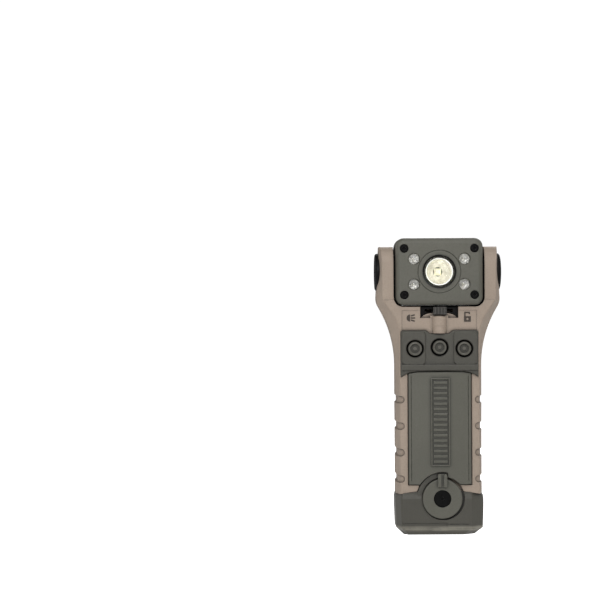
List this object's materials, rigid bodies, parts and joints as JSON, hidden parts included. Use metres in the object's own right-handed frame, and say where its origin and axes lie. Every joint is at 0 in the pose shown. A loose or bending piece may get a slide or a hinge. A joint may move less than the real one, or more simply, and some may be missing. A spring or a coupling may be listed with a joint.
{
  "type": "tactical flashlight",
  "caption": "Upright swivel-head tactical flashlight: rectangular multi-lamp head in a fork, side-slide selector, push buttons, gripped handle and latched tail cap.",
  "frame": {"origin": "middle of the flat base of the tail cap", "axes": "+Z from the tail cap to the head, -Y the way the lamp and the buttons face, +X to the right seen from the front"},
  "size_m": [0.0604, 0.0333, 0.1415],
  "materials": {
    "tan_housing": "moulded, fine grain",
    "grey_panel": "moulded, satin foliage grey",
    "panel_grey": "moulded, satin, darker foliage grey",
    "grey_button": "moulded rubber-feel",
    "black_plastic": "satin black",
    "dark_grip": "dark grey ribbed",
    "black_screw": "black oxide",
    "print_ink": "pad print",
    "seal_rubber": "black elastomer",
    "board": "green solder mask",
    "component": "moulded package",
    "cell_wrap": "printed sleeve, plain",
    "steel": "plain steel",
    "dark_steel": "black coated steel",
    "contact_metal": "nickel plated",
    "pin_metal": "ground",
    "bushing_plastic": "natural acetal",
    "aluminium": "plain",
    "mirror_cup": "vacuum metallised",
    "ring_black": "polished dark chrome",
    "clear_lens": "clear polycarbonate",
    "led_yellow": "phosphor dome",
    "led_clear": "water clear epoxy"
  },
  "bodies": {
    "handle": {"handle_housing": "tan_housing", "front_insert": "grey_panel", "button_panel": "panel_grey", "keypad_mat": "seal_rubber", "circuit_board": "board", "tact_switches": "component", "selector_switch": "component", "board_components": "component", "board_screws": "steel", "button_collars": "seal_rubber", "selector_liner": "black_plastic", "cradle_liner": "seal_rubber", "selector_marks": "print_ink", "battery_left": "cell_wrap", "battery_right": "cell_wrap", "upper_contacts": "contact_metal", "rear_gasket": "seal_rubber", "rear_cover": "grey_panel", "rear_cover_screws": "black_screw", "belt_clip": "dark_steel", "clip_screws": "black_screw", "pivot_bushing_left": "bushing_plastic", "pivot_bushing_right": "bushing_plastic", "pivot_cap_left": "black_plastic", "pivot_cap_right": "black_plastic", "friction_washers": "steel"},
    "left_button": {"button_left": "grey_button"},
    "centre_button": {"button_centre": "grey_button"},
    "right_button": {"button_right": "grey_button"},
    "selector": {"selector_knob": "dark_grip", "selector_carriage": "black_plastic"},
    "head": {"pivot_pin_left": "pin_metal", "pivot_pin_right": "pin_metal", "pivot_retainers": "steel", "head_bezel": "grey_panel", "head_screws": "black_screw", "head_shell": "grey_panel", "head_gasket": "seal_rubber", "lens_ring": "ring_black", "lens": "clear_lens", "reflector": "mirror_cup", "main_led": "led_yellow", "signal_leds": "led_clear", "led_board": "board", "heat_sink": "aluminium"},
    "tail": {"tail_cap": "panel_grey", "tail_seal": "seal_rubber", "contact_carrier": "black_plastic", "contact_plate": "contact_metal", "contact_springs": "contact_metal", "latch_oring": "seal_rubber"},
    "latch": {"latch_disc": "grey_panel", "latch_bolt": "black_screw", "latch_cam": "black_plastic"}
  },
  "joints": [
    {"name": "head_swivel", "type": "hinge", "parent": "handle", "child": "head", "pos_m": [0, 0, 0.1255], "axis": [-1, 0, 0], "range_deg": [0, 180]},
    {"name": "left_button_press", "type": "slide", "parent": "handle", "child": "left_button", "axis": [0, 1, 0], "range_m": [0, 0.0007], "stiffness_N_per_m": 400},
    {"name": "centre_button_press", "type": "slide", "parent": "handle", "child": "centre_button", "axis": [0, 1, 0], "range_m": [0, 0.0007], "stiffness_N_per_m": 400},
    {"name": "right_button_press", "type": "slide", "parent": "handle", "child": "right_button", "axis": [0, 1, 0], "range_m": [0, 0.0007], "stiffness_N_per_m": 400},
    {"name": "selector_slide", "type": "slide", "parent": "handle", "child": "selector", "axis": [1, 0, 0], "range_m": [-0.005, 0.005]},
    {"name": "tail_cap_slide", "type": "slide", "parent": "handle", "child": "tail", "axis": [0, 0, -1], "range_m": [0, 0.03]},
    {"name": "latch_turn", "type": "hinge", "parent": "tail", "child": "latch", "pos_m": [0.001, -0.0128, 0.0175], "axis": [0, -1, 0], "range_deg": [0, 90]}
  ]
}
